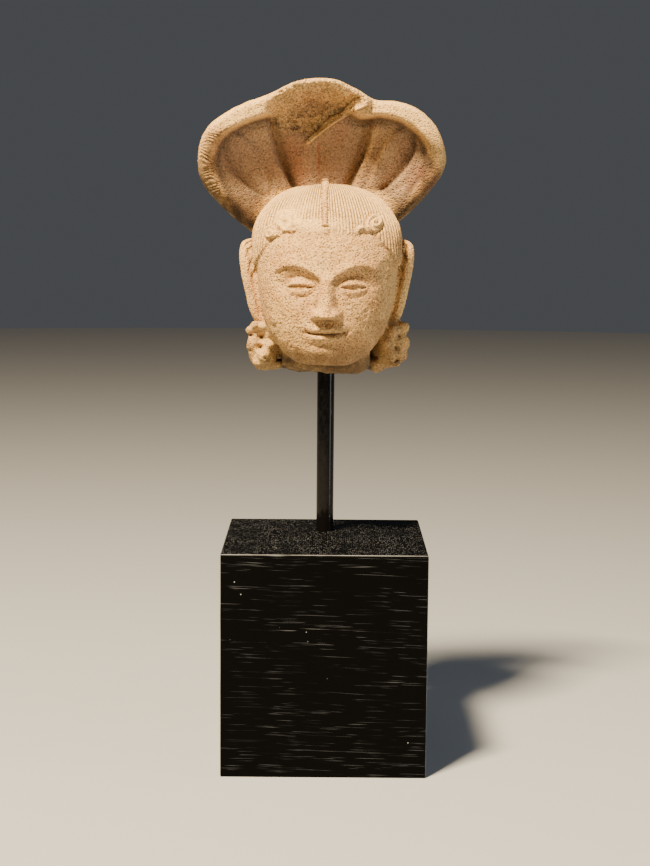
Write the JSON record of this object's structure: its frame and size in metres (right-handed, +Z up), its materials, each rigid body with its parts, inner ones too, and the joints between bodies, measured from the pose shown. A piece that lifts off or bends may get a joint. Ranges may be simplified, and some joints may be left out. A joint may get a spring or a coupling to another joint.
{
  "type": "snake head sculpture",
  "caption": "Carved stone head with a calm face under a spread, fluted serpent hood, held by a slim round rod on a square wood block.",
  "frame": {"origin": "middle of the block's underside, on the surface it stands on", "axes": "+Z up along the rod, +X to the right seen from the front, +Y to the back; the face looks along -Y"},
  "size_m": [0.113, 0.091, 0.308],
  "materials": {
    "sandstone": "weathered, grainy, warm beige sandstone",
    "rod_lacquer": "gloss black lacquer",
    "block_wood": "black stain, satin, open grain"
  },
  "bodies": {
    "root": {"stone_head": "sandstone", "rod": "rod_lacquer", "block": "block_wood"}
  },
  "joints": []
}
